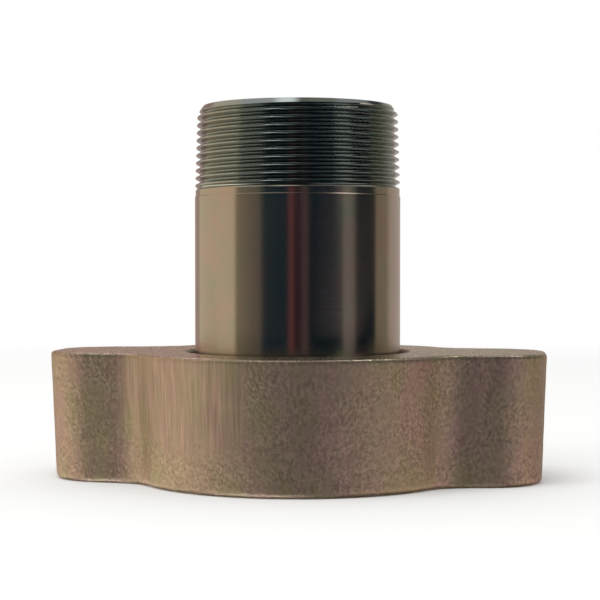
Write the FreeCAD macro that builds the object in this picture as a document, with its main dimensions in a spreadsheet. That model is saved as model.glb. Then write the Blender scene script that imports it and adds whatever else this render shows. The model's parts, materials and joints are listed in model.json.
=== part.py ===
import FreeCAD, Part

import enum
import math
import os

import Sketcher

# Pipe-to-hose adapter: a turned steel stem with a male taper pipe thread, standing in a hammer wing nut
# that is loose on it. Stem and nut stand on the same flat surface.
# Frame: millimetres, +Z up along the stem, origin on the stem's axis at the surface they stand on,
# ears along +X and -X. Both ears and the round of the nut lean out by its draft.

SIZES = {
    # stem: barrel and thread. A 2 inch taper pipe thread loses 1 mm of diameter in 16 mm
    "stem_length": 109.0,
    "barrel_dia": 60.3,
    "stem_wall": 6.15,
    "bore_bevel": 1.5,
    "thread_length": 24.0,
    "thread_taper": 0.0625,
    "thread_inset": 0.1,
    "thread_relief": 0.7,
    "tip_bevel_width": 1.4,
    "tip_bevel_height": 2.0,
    # stem: shallow turned band between barrel and thread
    "band_length": 2.4,
    "band_step": 0.2,
    # stem: collar inside the nut, with the convex ground seat under it
    "collar_height": 12.5,
    "collar_width": 7.1,
    "collar_bevel": 1.0,
    "barrel_root_radius": 2.0,
    "seat_rim_width": 2.0,
    "seat_rise": 5.0,
    # nut: its lip stands this far above the collar, the room that the mating thread takes
    "slide_room": 13.5,
    "lip_thickness": 11.3,
    "lip_bevel": 0.6,
    "barrel_clearance": 2.35,
    "collar_clearance": 0.7,
    "socket_thread_depth": 1.75,
    "socket_relief_height": 3.2,
    "socket_bevel": 1.2,
    # nut: casting, at its base
    "nut_wall": 8.1,
    "draft_angle": 2.1,
    "ear_length": 23.4,
    "ear_tip_width": 34.1,
    "ear_side_angle": 8.7,
    "ear_root_radius": 13.5,
    "ear_corner_radius": 15.5,
    "top_edge_radius": 1.0,
    "base_edge_radius": 1.5,
}

# Sizes that follow from the sheet. A name without a prefix is another one of these
WORKED = {
    "barrel_radius": "Sizes.barrel_dia / 2",
    "bore_radius": "barrel_radius - Sizes.stem_wall",
    "bore_mouth_radius": "bore_radius + Sizes.bore_bevel",
    "bore_bevel_foot": "Sizes.stem_length - Sizes.bore_bevel",
    "thread_start": "Sizes.stem_length - Sizes.thread_length",
    "thread_foot": "thread_start + Sizes.thread_relief",
    "thread_top": "Sizes.stem_length - Sizes.tip_bevel_height",
    "thread_large_radius": "barrel_radius - Sizes.thread_inset",
    "thread_small_radius": "thread_large_radius - (thread_top - thread_foot) * Sizes.thread_taper / 2",
    "tip_radius": "thread_small_radius - Sizes.tip_bevel_width",
    "band_start": "thread_start - Sizes.band_length",
    "band_foot": "band_start - Sizes.band_step",
    "band_radius": "barrel_radius - Sizes.band_step",
    "relief_foot": "thread_start - Sizes.thread_relief",
    "relief_radius": "band_radius - Sizes.thread_relief",
    "collar_radius": "barrel_radius + Sizes.collar_width",
    "collar_top_radius": "collar_radius - Sizes.collar_bevel",
    "collar_shoulder": "Sizes.collar_height - Sizes.collar_bevel",
    "seat_rim_radius": "bore_mouth_radius + Sizes.seat_rim_width",
    "hole_radius": "barrel_radius + Sizes.barrel_clearance",
    "hole_mouth_radius": "hole_radius + Sizes.lip_bevel",
    "socket_minor_radius": "collar_radius + Sizes.collar_clearance",
    "socket_major_radius": "socket_minor_radius + Sizes.socket_thread_depth",
    "socket_mouth_radius": "socket_minor_radius + Sizes.socket_bevel",
    "lip_underside": "Sizes.collar_height + Sizes.slide_room",
    "socket_thread_top": "lip_underside - Sizes.socket_relief_height",
    "nut_height": "lip_underside + Sizes.lip_thickness",
    "hole_bevel_foot": "nut_height - Sizes.lip_bevel",
    "nut_radius": "socket_major_radius + Sizes.nut_wall",
    "ear_reach": "nut_radius + Sizes.ear_length",
    "ear_tip_half": "Sizes.ear_tip_width / 2",
    "ear_axis_half": "ear_tip_half + ear_reach * tan(Sizes.ear_side_angle * 1 deg)",
}

# Stand in for a corner's size where it lies on one of the sketch's axes
ON_AXIS = "on the axis"
ON_BASE = "on the base"

# How near two lengths must be, in millimetres, to count as the same when an edge is picked
NEAR = 0.01


class Axis(enum.IntEnum):
    """Sketcher's numbers for a sketch's own axes."""

    ACROSS = -1
    UP = -2


class At(enum.IntEnum):
    """Sketcher's numbers for the points of an edge."""

    START = 1
    END = 2
    CENTRE = 3


# The point where a sketch's axes meet
ORIGIN = (Axis.ACROSS, At.START)


def write_sizes(doc):
    """Puts the driving sizes in the sheet, and what follows from them in a set of variables bound to it."""
    sheet = doc.addObject("Spreadsheet::Sheet", "Sizes")
    for row, (name, value) in enumerate(SIZES.items(), start=1):
        sheet.set(f"A{row}", name)
        sheet.set(f"B{row}", str(value))
        sheet.setAlias(f"B{row}", name)
    doc.recompute()
    worked = doc.addObject("App::VarSet", "Worked")
    for name in WORKED:
        worked.addProperty("App::PropertyFloat", name)
    for name, formula in WORKED.items():
        worked.setExpression(name, formula)
    doc.recompute()
    return sheet, worked


class Builder:
    """Makes bodies, sketches and features whose sizes are bound to the sheet."""

    def __init__(self, doc, sheet, worked):
        self.doc = doc
        self.sheet = sheet
        self.worked = worked

    def value(self, name):
        """Gives the number behind a size's name."""
        return self.sheet.get(name) if name in SIZES else getattr(self.worked, name)

    def formula(self, name):
        """Gives the expression that reads a size by its name."""
        return f"Sizes.{name}" if name in SIZES else f"Worked.{name}"

    def body(self, label):
        """Starts a body, one for each real piece."""
        body = self.doc.addObject("PartDesign::Body", label)
        body.Label = label
        return body

    def sketch(self, body, name, role):
        """Puts an empty sketch on one of the body's own origin planes."""
        sketch = body.newObject("Sketcher::SketchObject", name)
        plane = next(feature for feature in body.Origin.OriginFeatures if feature.Role == role)
        sketch.AttachmentSupport = [(plane, "")]
        sketch.MapMode = "FlatFace"
        return sketch

    def dimension(self, sketch, kind, places, name):
        """Adds a dimension to a sketch and binds it to a named size."""
        index = sketch.addConstraint(Sketcher.Constraint(kind, *places, self.value(name)))
        sketch.setExpression(f"Constraints[{index}]", self.formula(name))

    def place_corner(self, sketch, point, across, up):
        """Holds a corner at its named distances from the sketch's axes."""
        if across == ON_AXIS:
            sketch.addConstraint(Sketcher.Constraint("PointOnObject", *point, Axis.UP))
        else:
            self.dimension(sketch, "DistanceX", (*ORIGIN, *point), across)
        if up == ON_BASE:
            sketch.addConstraint(Sketcher.Constraint("PointOnObject", *point, Axis.ACROSS))
        else:
            self.dimension(sketch, "DistanceY", (*ORIGIN, *point), up)

    def profile(self, sketch, corners, crowned=()):
        """Draws a closed profile through named corners; a crowned side is an arc centred on the axis."""
        places = [
            FreeCAD.Vector(
                0 if across == ON_AXIS else self.value(across),
                0 if up == ON_BASE else self.value(up),
            )
            for across, up in corners
        ]
        sides = join_corners(sketch, places, crowned)
        for side, (across, up) in zip(sides, corners):
            self.place_corner(sketch, (side, At.START), across, up)
        for index in crowned:
            sketch.addConstraint(Sketcher.Constraint("PointOnObject", sides[index], At.CENTRE, Axis.UP))

    def turned(self, body, kind, sketch):
        """Turns a profile all the way round the axis, as a solid or as a cut."""
        feature = body.newObject(kind, f"{sketch.Name}Turned")
        feature.Profile = sketch
        feature.ReferenceAxis = (sketch, ["V_Axis"])
        feature.Angle = 360.0
        self.doc.recompute()

    def raised(self, body, sketch, height, draft):
        """Raises an outline to a height, leaning out by the draft angle."""
        pad = body.newObject("PartDesign::Pad", f"{sketch.Name}Raised")
        pad.Profile = sketch
        pad.setExpression("Length", self.formula(height))
        pad.setExpression("TaperAngle", f"{self.formula(draft)} * 1 deg")
        self.doc.recompute()

    def rounded(self, body, name, picks, radius):
        """Rounds those edges of the body so far that a test picks."""
        base = body.Tip
        names = [f"Edge{number}" for number, edge in enumerate(base.Shape.Edges, start=1) if picks(edge)]
        if not names:
            raise RuntimeError(f"{name} finds no edge to round")
        fillet = body.newObject("PartDesign::Fillet", name)
        fillet.Base = (base, names)
        fillet.setExpression("Radius", self.formula(radius))
        self.doc.recompute()


def join_corners(sketch, places, crowned=()):
    """Draws a closed chain of sides through places, joined end to start. Gives the sides' numbers."""
    sides = []
    for index, start in enumerate(places):
        end = places[(index + 1) % len(places)]
        edge = arc_centred_on_axis(start, end) if index in crowned else Part.LineSegment(start, end)
        sides.append(sketch.addGeometry(edge, False))
    for side, following in zip(sides, sides[1:] + sides[:1]):
        sketch.addConstraint(Sketcher.Constraint("Coincident", side, At.END, following, At.START))
    return sides


def arc_centred_on_axis(start, end):
    """Gives the arc from start to end whose centre lies on the sketch's upright axis."""
    height = (end.x**2 + end.y**2 - start.x**2 - start.y**2) / (2 * (end.y - start.y))
    centre = FreeCAD.Vector(0, height)
    circle = Part.Circle(centre, FreeCAD.Vector(0, 0, 1), start.distanceToPoint(centre))
    return Part.ArcOfCircle(circle, circle.parameter(start), circle.parameter(end))


def same(first, second):
    """Tells whether two lengths are the same."""
    return math.isclose(first, second, abs_tol=NEAR)


def build_stem(make):
    """The stem: bore, convex ground seat, collar, barrel, turned band and the tapered blank of its thread."""
    body = make.body("adapter_stem")
    profile = make.sketch(body, "StemProfile", "XZ_Plane")
    corners = [
        ("bore_mouth_radius", ON_BASE),
        ("seat_rim_radius", ON_BASE),
        ("collar_radius", "seat_rise"),
        ("collar_radius", "collar_shoulder"),
        ("collar_top_radius", "collar_height"),
        ("barrel_radius", "collar_height"),
        ("barrel_radius", "band_foot"),
        ("band_radius", "band_start"),
        ("band_radius", "relief_foot"),
        ("relief_radius", "thread_start"),
        ("thread_large_radius", "thread_foot"),
        ("thread_small_radius", "thread_top"),
        ("tip_radius", "stem_length"),
        ("bore_mouth_radius", "stem_length"),
        ("bore_radius", "bore_bevel_foot"),
        ("bore_radius", "bore_bevel"),
    ]
    # the ground seat is part of a sphere centred on the axis
    seat = corners.index(("seat_rim_radius", ON_BASE))
    make.profile(profile, corners, crowned=(seat,))
    make.turned(body, "PartDesign::Revolution", profile)
    round_barrel_root(make, body)
    return body


def round_barrel_root(make, body):
    """Rounds the inner corner where the barrel rises from its collar."""
    barrel_radius = make.value("barrel_radius")
    collar_height = make.value("collar_height")

    def at_barrel_root(edge):
        curve = edge.Curve
        is_circle = isinstance(curve, Part.Circle)
        return is_circle and same(curve.Radius, barrel_radius) and same(curve.Center.z, collar_height)

    make.rounded(body, "BarrelRoot", at_barrel_root, "barrel_root_radius")


def build_nut(make):
    """The wing nut: round body and ears raised with draft, rounded as cast, then bored."""
    body = make.body("wing_nut")
    raise_round(make, body)
    raise_ears(make, body)
    round_casting(make, body)
    bore_socket(make, body)
    return body


def raise_round(make, body):
    """The casting's round body."""
    outline = make.sketch(body, "Round", "XY_Plane")
    circle = Part.Circle(FreeCAD.Vector(), FreeCAD.Vector(0, 0, 1), make.value("nut_radius"))
    ring = outline.addGeometry(circle, False)
    outline.addConstraint(Sketcher.Constraint("Coincident", ring, At.CENTRE, *ORIGIN))
    make.dimension(outline, "Radius", (ring,), "nut_radius")
    make.raised(body, outline, "nut_height", "draft_angle")


def raise_ears(make, body):
    """Both ears at once: a long six-sided outline through the body, its sides closing towards the tips."""
    outline = make.sketch(body, "Ears", "XY_Plane")
    reach = make.value("ear_reach")
    tip = make.value("ear_tip_half")
    middle = make.value("ear_axis_half")
    places = [(reach, -tip), (reach, tip), (0, middle), (-reach, tip), (-reach, -tip), (0, -middle)]
    sides = join_corners(outline, [FreeCAD.Vector(x, y) for x, y in places])
    right_tip, _, back_left, left_tip, _, front_right = sides
    mirrored = [
        (right_tip, At.START, right_tip, At.END, Axis.ACROSS),
        (left_tip, At.START, left_tip, At.END, Axis.ACROSS),
        (back_left, At.START, front_right, At.START, Axis.ACROSS),
        (right_tip, At.END, left_tip, At.START, Axis.UP),
    ]
    for pair in mirrored:
        outline.addConstraint(Sketcher.Constraint("Symmetric", *pair))
    make.place_corner(outline, (right_tip, At.END), "ear_reach", "ear_tip_half")
    make.place_corner(outline, (back_left, At.START), ON_AXIS, "ear_axis_half")
    make.raised(body, outline, "nut_height", "draft_angle")


def round_casting(make, body):
    """Rounds the ears' roots and corners, then the casting's top and bottom edges."""
    height = make.value("nut_height")
    nut_radius = make.value("nut_radius")
    beyond_round = (nut_radius + make.value("ear_reach")) / 2

    def foot_reach(edge):
        foot = min((vertex.Point for vertex in edge.Vertexes), key=lambda point: point.z)
        return math.hypot(foot.x, foot.y)

    def runs_up(edge):
        return same(edge.BoundBox.ZLength, height)

    def at_ear_root(edge):
        return runs_up(edge) and same(foot_reach(edge), nut_radius)

    def at_ear_corner(edge):
        return runs_up(edge) and foot_reach(edge) > beyond_round

    def on_top(edge):
        return same(edge.BoundBox.ZMin, height)

    def on_base(edge):
        return same(edge.BoundBox.ZMax, 0)

    make.rounded(body, "EarRoots", at_ear_root, "ear_root_radius")
    make.rounded(body, "EarCorners", at_ear_corner, "ear_corner_radius")
    make.rounded(body, "TopEdge", on_top, "top_edge_radius")
    make.rounded(body, "BaseEdge", on_base, "base_edge_radius")


def bore_socket(make, body):
    """Bores the nut: bevelled mouth, thread bore, relief under the lip and the barrel's clearance hole."""
    profile = make.sketch(body, "Socket", "XZ_Plane")
    corners = [
        (ON_AXIS, ON_BASE),
        ("socket_mouth_radius", ON_BASE),
        ("socket_minor_radius", "socket_bevel"),
        ("socket_minor_radius", "socket_thread_top"),
        ("socket_major_radius", "socket_thread_top"),
        ("socket_major_radius", "lip_underside"),
        ("hole_radius", "lip_underside"),
        ("hole_radius", "hole_bevel_foot"),
        ("hole_mouth_radius", "nut_height"),
        (ON_AXIS, "nut_height"),
    ]
    make.profile(profile, corners)
    make.turned(body, "PartDesign::Groove", profile)


def check_document(doc, bodies):
    """Stops if an object failed to compute or a piece isn't one sound solid."""
    for item in doc.Objects:
        if "Invalid" in item.State or "Error" in item.State:
            raise RuntimeError(f"{item.Label} failed: {item.State}")
    for body in bodies:
        shape = body.Shape
        if shape.isNull() or not shape.isValid() or len(shape.Solids) != 1:
            raise RuntimeError(f"{body.Label} is not one sound solid")


def main():
    """Builds the document, checks it and writes one STEP file for each piece."""
    doc = FreeCAD.newDocument("HoseAdapter")
    make = Builder(doc, *write_sizes(doc))
    bodies = [build_stem(make), build_nut(make)]
    doc.recompute()
    check_document(doc, bodies)
    os.makedirs("parts", exist_ok=True)
    for body in bodies:
        body.Shape.exportStep(os.path.join("parts", f"{body.Label}.step"))
        print(f"{body.Label}: {body.Shape.Volume / 1000:.1f} cm3, {len(body.Shape.Faces)} faces")


main()
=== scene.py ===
"""Looks of a pipe-to-hose adapter: a turned steel stem with a taper pipe thread, in a loose cast wing nut.

The part's classes work in millimetres, which turn to metres where a mesh is drawn or a texture scaled. The
studio is in metres. Angles are in degrees.
"""

import json
import logging
import math
from dataclasses import dataclass
from enum import Enum
from typing import Callable, Iterable, Sequence

import bmesh
import bpy
import numpy as np
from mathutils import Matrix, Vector

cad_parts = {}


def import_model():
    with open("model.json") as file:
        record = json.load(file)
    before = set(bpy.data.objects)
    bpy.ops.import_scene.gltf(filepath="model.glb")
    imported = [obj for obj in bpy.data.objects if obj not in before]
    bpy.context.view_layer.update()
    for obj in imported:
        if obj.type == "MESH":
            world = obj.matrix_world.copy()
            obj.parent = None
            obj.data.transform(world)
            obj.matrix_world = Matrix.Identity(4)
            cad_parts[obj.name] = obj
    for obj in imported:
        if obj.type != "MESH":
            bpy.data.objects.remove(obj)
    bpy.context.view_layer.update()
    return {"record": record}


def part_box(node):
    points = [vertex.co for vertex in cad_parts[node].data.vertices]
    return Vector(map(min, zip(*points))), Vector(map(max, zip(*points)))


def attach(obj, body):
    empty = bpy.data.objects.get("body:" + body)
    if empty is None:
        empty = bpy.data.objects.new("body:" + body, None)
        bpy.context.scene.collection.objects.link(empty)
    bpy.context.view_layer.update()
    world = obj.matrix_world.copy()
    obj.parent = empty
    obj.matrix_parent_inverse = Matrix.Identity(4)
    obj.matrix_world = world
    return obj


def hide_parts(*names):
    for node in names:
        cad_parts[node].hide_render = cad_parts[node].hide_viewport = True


LOG = logging.getLogger("hose_adapter")

# Two coordinates of an outline's corner; the two ends of a range; and three coordinates or parts of a colour
Point = tuple[float, float]
Span = tuple[float, float]
Place = tuple[float, float, float]
Colour = tuple[float, float, float, float]
Element = bmesh.types.BMVert | bmesh.types.BMEdge | bmesh.types.BMFace
Tree = bpy.types.NodeTree
# What feeds a node's input: one output of a node, or the node itself for its first output in use
Source = bpy.types.NodeSocket | bpy.types.Node

MM = 0.001
INCH = 25.4
FULL_TURN = math.tau

# How near two lengths must be, in millimetres, to count as the same when an element is picked
NEAR = 0.01

# Faces that meet at more than this many degrees keep a sharp edge
SHARP_ANGLE = 33.0

# Sides of a broken edge's rounding
BREAK_SIDES = 2

# A noise texture's height is mostly between the outer two
NOISE_LOW, NOISE_MIDDLE, NOISE_HIGH = 0.3, 0.5, 0.7


class ThreadSide(Enum):
    """Where a thread is cut; the value is the way its groove leads from its crests."""

    OUTSIDE = -1
    INSIDE = 1


class Surface(Enum):
    """How a surface of the nut was left; the value is its place among the nut's materials."""

    CAST = 0
    MACHINED = 1


def srgb(code: str) -> Colour:
    """Turns a colour from sRGB hex to linear.

    Args:
        code: The colour, such as "#b3a898".

    Returns:
        Its linear red, green and blue, and a full alpha.
    """
    shares = [int(code[place : place + 2], 16) / 255 for place in (1, 3, 5)]
    linear = [share / 12.92 if share <= 0.04045 else ((share + 0.055) / 1.055) ** 2.4 for share in shares]
    return (*linear, 1.0)


def clear_selection() -> None:
    """Leaves edit mode and deselects every object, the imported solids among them."""
    if bpy.context.object and bpy.context.object.mode != "OBJECT":
        bpy.ops.object.mode_set(mode="OBJECT")
    bpy.ops.object.select_all(action="DESELECT")


def work_on(piece: bpy.types.Object, mode: str = "OBJECT") -> None:
    """Makes one object the only selected one and enters a mode.

    Args:
        piece: The object to work on.
        mode: "OBJECT" or "EDIT".
    """
    clear_selection()
    piece.select_set(True)
    bpy.context.view_layer.objects.active = piece
    bpy.ops.object.mode_set(mode=mode)


def pick(kind: str, test: Callable[[Element], bool]) -> int:
    """Selects those elements of the edited mesh that pass a test, and nothing else.

    Args:
        kind: "VERT", "EDGE" or "FACE".
        test: Tells whether an element is wanted.

    Returns:
        How many elements are selected.
    """
    bpy.ops.mesh.select_mode(type=kind)
    bpy.ops.mesh.select_all(action="DESELECT")
    mesh = bpy.context.object.data
    work = bmesh.from_edit_mesh(mesh)
    elements = {"VERT": work.verts, "EDGE": work.edges, "FACE": work.faces}[kind]
    wanted = [element for element in elements if test(element)]
    for element in wanted:
        element.select_set(True)
    work.select_flush_mode()
    bmesh.update_edit_mesh(mesh)
    return len(wanted)


def at_height(height: float) -> Callable[[Element], bool]:
    """Gives a test for edges that lie at a height, in millimetres."""
    return lambda edge: all(abs(end.co.z / MM - height) < NEAR for end in edge.verts)


def on_ring(radius: float, height: float) -> Callable[[Element], bool]:
    """Gives a test for the edges of a ring round the Z axis, by its radius and height in millimetres."""
    level = at_height(height)
    return lambda edge: level(edge) and all(
        abs(end.co.xy.length / MM - radius) < NEAR for end in edge.verts
    )


def draw_line(name: str, places: Sequence[Vector]) -> bpy.types.Object:
    """Draws a line of edges by extruding one vertex from place to place.

    Args:
        name: The new object's name.
        places: Where each vertex lies, in millimetres.

    Returns:
        The object, in edit mode.
    """
    clear_selection()
    bpy.ops.mesh.primitive_plane_add(size=MM, location=places[0] * MM)
    piece = bpy.context.object
    piece.name = name
    piece.data.name = name
    bpy.ops.object.transform_apply(location=True, rotation=True, scale=True)
    bpy.ops.object.mode_set(mode="EDIT")
    bpy.ops.mesh.select_mode(type="VERT")
    bpy.ops.mesh.select_all(action="SELECT")
    bpy.ops.mesh.merge(type="CENTER")
    for start, end in zip(places, places[1:]):
        bpy.ops.mesh.extrude_region_move(TRANSFORM_OT_translate={"value": (end - start) * MM})
    return piece


def draw_profile(name: str, corners: Sequence[Point]) -> bpy.types.Object:
    """Draws an open profile in the plane of X and Z, ready to be turned about Z.

    Args:
        name: The new object's name.
        corners: Radius and height of each corner, in millimetres.

    Returns:
        The object, in edit mode.
    """
    return draw_line(name, [Vector((radius, 0, height)) for radius, height in corners])


def turn(piece: bpy.types.Object, steps: int) -> None:
    """Spins a drawn profile all the way round the Z axis.

    Args:
        piece: The object whose profile is turned.
        steps: How many steps the turn has.
    """
    work_on(piece, "EDIT")
    bpy.ops.mesh.select_all(action="SELECT")
    bpy.ops.mesh.spin(steps=steps, angle=FULL_TURN, center=(0, 0, 0), axis=(0, 0, 1), use_auto_merge=True)
    bpy.ops.mesh.select_all(action="SELECT")
    bpy.ops.mesh.remove_doubles(threshold=NEAR * MM)


def arc(centre: Point, radius: float, start: float, end: float, steps: int) -> list[Point]:
    """Gives the corners of an arc of an outline.

    Args:
        centre: Its centre in the outline's plane, in millimetres.
        radius: Its radius.
        start: Angle at its first corner, from the plane's first axis towards its second.
        end: Angle at its last corner.
        steps: How many sides it has.

    Returns:
        The two coordinates of each corner.
    """
    angles = (math.radians(start + (end - start) * step / steps) for step in range(steps + 1))
    return [(centre[0] + radius * math.cos(angle), centre[1] + radius * math.sin(angle)) for angle in angles]


def straight(start: Vector, end: Vector, steps: int) -> list[Point]:
    """Gives the corners of a straight stretch of an outline, divided into steps."""
    return [tuple(start.lerp(end, step / steps)) for step in range(steps + 1)]


def apply_modifier(piece: bpy.types.Object, kind: str, **settings: object) -> None:
    """Adds a modifier to a piece and applies it.

    Args:
        piece: The piece.
        kind: The modifier's type.
        settings: Its settings.
    """
    work_on(piece)
    modifier = piece.modifiers.new(kind.title(), kind)
    for name, value in settings.items():
        setattr(modifier, name, value)
    bpy.ops.object.modifier_apply(modifier=modifier.name)


def join(first: bpy.types.Object, *others: bpy.types.Object) -> None:
    """Joins objects and welds what lies together.

    Args:
        first: The object that the others go into, which is left in edit mode.
        others: The others.
    """
    work_on(first)
    for other in others:
        other.select_set(True)
    bpy.ops.object.join()
    work_on(first, "EDIT")
    bpy.ops.mesh.select_all(action="SELECT")
    bpy.ops.mesh.remove_doubles(threshold=NEAR * MM)


def face_outwards() -> None:
    """Turns every face of the closed mesh in edit mode outwards."""
    bpy.ops.mesh.select_all(action="SELECT")
    bpy.ops.mesh.normals_make_consistent(inside=False)


def break_rings(rings: Iterable[Point], width: float) -> None:
    """Rounds off sharp rings of the edited mesh.

    Args:
        rings: Radius and height of each, in millimetres.
        width: How far the rounding reaches on each side.
    """
    for radius, height in rings:
        if not pick("EDGE", on_ring(radius, height)):
            raise RuntimeError(f"no ring at radius {radius}, height {height}")
        bpy.ops.mesh.bevel(offset=width * MM, segments=BREAK_SIDES, affect="EDGES")


def finish_piece(piece: bpy.types.Object, materials: Sequence[bpy.types.Material]) -> None:
    """Smooths a piece's shading between its sharp edges and gives it its materials.

    Args:
        piece: The piece.
        materials: Its materials, the main one first.
    """
    work_on(piece)
    bpy.ops.object.shade_smooth_by_angle(angle=math.radians(SHARP_ANGLE))
    piece.data.materials.clear()
    for material in materials:
        piece.data.materials.append(material)


@dataclass
class PackedPart:
    """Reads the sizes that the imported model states, in millimetres."""

    record: dict

    def mount(self, name: str) -> dict:
        """Gives a mount of the record by its name."""
        return next(mount for mount in self.record["mounts"] if mount["name"] == name)

    def radius(self, name: str) -> float:
        """Gives a round mount's radius."""
        return self.mount(name)["dims"]["r_mm"]

    def length(self, name: str) -> float:
        """Gives a round mount's length."""
        return self.mount(name)["dims"]["length_mm"]

    def reach(self, node: str) -> Vector:
        """Gives the corner of a node's box that is furthest along every axis."""
        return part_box(node)[1] / MM


@dataclass(frozen=True)
class ThreadForm:
    """Section of a right-handed 60 degree thread over one pitch, in millimetres."""

    pitch: float
    crest_flat: float
    root_flat: float
    soft_corner: float
    root_corner: float
    flank_angle: float = 60.0
    # Points between the ends of a flank, so that the blank's bevel cuts it cleanly
    flank_points: int = 3
    # Beside each softened corner, flats and flanks have a second edge that keeps their shading flat, this
    # many times as far from the corner as it is softened
    corner_support: float = 1.5

    @property
    def depth(self) -> float:
        """Height from root to crest."""
        flank = (self.pitch - self.crest_flat - self.root_flat) / 2
        return flank * math.tan(math.radians(self.flank_angle))

    def section(self) -> tuple[list[float], list[float]]:
        """Works out the section, with each corner softened.

        Returns:
            Distances along the axis from the middle of one crest to the next, and the depth below the
            crest at each.
        """
        slope = math.radians(self.flank_angle)
        crest_edge, root_edge = self.crest_flat / 2, (self.pitch - self.root_flat) / 2
        along, down = self.soft_corner * math.cos(slope), self.soft_corner * math.sin(slope)
        back, up = self.root_corner * math.cos(slope), self.root_corner * math.sin(slope)
        beside = self.corner_support
        flank = np.linspace(
            (crest_edge + beside * along, beside * down),
            (root_edge - beside * back, self.depth - beside * up),
            self.flank_points + 2,
        )
        half = [
            (0.0, 0.0),
            (crest_edge - beside * self.soft_corner, 0.0),
            (crest_edge - self.soft_corner, 0.0),
            (crest_edge + along, down),
            *map(tuple, flank.tolist()),
            (root_edge - back, self.depth - up),
            (root_edge + self.root_corner, self.depth),
            (root_edge + beside * self.root_corner, self.depth),
        ]
        other_half = [(self.pitch - distance, depth) for distance, depth in reversed(half)]
        distances, depths = zip(*half, *other_half)
        return list(distances), list(depths)


@dataclass(frozen=True)
class ThreadCut:
    """A thread cut round the Z axis between two heights, where it ends in plain rings.

    At a height, the blank gives the radius of the crests, shallow the share of the full depth and limit the
    radius of the blank's bevel.
    """

    form: ThreadForm
    side: ThreadSide
    low: float
    high: float
    crest_height: float
    blank: Callable[[np.ndarray], np.ndarray]
    shallow: Callable[[np.ndarray], np.ndarray]
    limit: Callable[[np.ndarray], np.ndarray]
    # Radius per height by which the groove may deepen from the thread's open end
    floor_slope: float = 0.5

    def model(self, name: str, steps: int) -> bpy.types.Object:
        """Draws one pitch, repeats it along the axis, screws it round and fits it to the blank.

        Args:
            name: The new object's name.
            steps: How many steps the turn has.

        Returns:
            The thread as an open tube between two rings.
        """
        form = self.form
        # A pitch to spare at each end, because the screw climbs by one as it turns
        turns = math.ceil((self.high - self.low) / form.pitch) + 2
        start = self.crest_height - math.ceil((self.crest_height - self.low) / form.pitch + 1) * form.pitch
        radius = float(self.blank(np.array(self.low)))
        corners = [(radius + self.side.value * depth, start + along) for along, depth in zip(*form.section())]
        thread = draw_profile(name, corners)
        apply_modifier(
            thread, "ARRAY", count=turns, use_relative_offset=False, use_constant_offset=True,
            constant_offset_displace=(0, 0, form.pitch * MM), use_merge_vertices=True,
            merge_threshold=NEAR * MM,
        )
        apply_modifier(
            thread, "SCREW", axis="Z", angle=FULL_TURN, steps=steps, render_steps=steps,
            screw_offset=form.pitch * MM,
        )
        self.fit_to_blank(thread)
        work_on(thread, "EDIT")
        bpy.ops.mesh.select_all(action="SELECT")
        # Closer than elsewhere, so that the softened corners keep their short edges
        bpy.ops.mesh.remove_doubles(threshold=NEAR * MM / 4)
        return thread

    def fit_to_blank(self, thread: bpy.types.Object) -> None:
        """Moves each vertex in or out to the blank's taper, its bevel and the run-out, between the rings.

        Args:
            thread: The tube as it was screwed round.
        """
        places = np.empty(len(thread.data.vertices) * 3)
        thread.data.vertices.foreach_get("co", places)
        x, y, z = places.reshape(-1, 3).T / MM
        turned = np.arctan2(y, x) % FULL_TURN
        height = np.clip(z, self.low, self.high)
        distances, depths = self.form.section()
        phase = (height - self.crest_height - self.form.pitch * turned / FULL_TURN) % self.form.pitch
        groove = np.interp(phase, distances, depths) * self.shallow(height)
        cut = self.blank(height) + self.side.value * groove
        nearer, further = (np.minimum, np.maximum)[:: -self.side.value]
        radius = further(nearer(cut, self.limit(height)), self.floor(height))
        fitted = np.stack([radius * np.cos(turned), radius * np.sin(turned), height], axis=1)
        thread.data.vertices.foreach_set("co", (fitted * MM).ravel())
        thread.data.update()

    def floor(self, height: np.ndarray) -> np.ndarray:
        """Gives the radius that the groove can't pass, which meets the bevel at the thread's open end."""
        end = self.high if self.side is ThreadSide.OUTSIDE else self.low
        return self.limit(np.array(end)) + self.side.value * np.abs(end - height) * self.floor_slope


def add_node(
    tree: Tree,
    kind: str,
    inputs: dict | None = None,
    stops: Iterable[tuple[float, Colour]] = (),
    **settings: object,
) -> bpy.types.Node:
    """Adds a node with its settings and links.

    Args:
        tree: The material's or world's node tree.
        kind: The node's type, without the word ShaderNode.
        inputs: What goes into its sockets, by name or place: a source to link, or a value.
        stops: Places and colours of a colour ramp.
        settings: Its other settings.

    Returns:
        The node.
    """
    node = tree.nodes.new(f"ShaderNode{kind}")
    for name, value in settings.items():
        setattr(node, name, value)
    for name, value in (inputs or {}).items():
        if isinstance(value, bpy.types.Node):
            value = next(output for output in value.outputs if output.enabled)
        if isinstance(value, bpy.types.NodeSocket):
            tree.links.new(value, node.inputs[name])
        else:
            node.inputs[name].default_value = value
    for index, (place, colour) in enumerate(stops):
        elements = node.color_ramp.elements
        element = elements[index] if index < len(elements) else elements.new(place)
        element.position = place
        element.color = colour
    return node


def grey(level: float) -> Colour:
    """Gives a linear grey."""
    return (level, level, level, 1.0)


def blank_material(name: str) -> tuple[bpy.types.Material, Tree]:
    """Makes a material with an empty node tree.

    Args:
        name: The material's name.

    Returns:
        The material and its tree.
    """
    material = bpy.data.materials.new(name)
    material.use_nodes = True
    material.node_tree.nodes.clear()
    return material, material.node_tree


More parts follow.
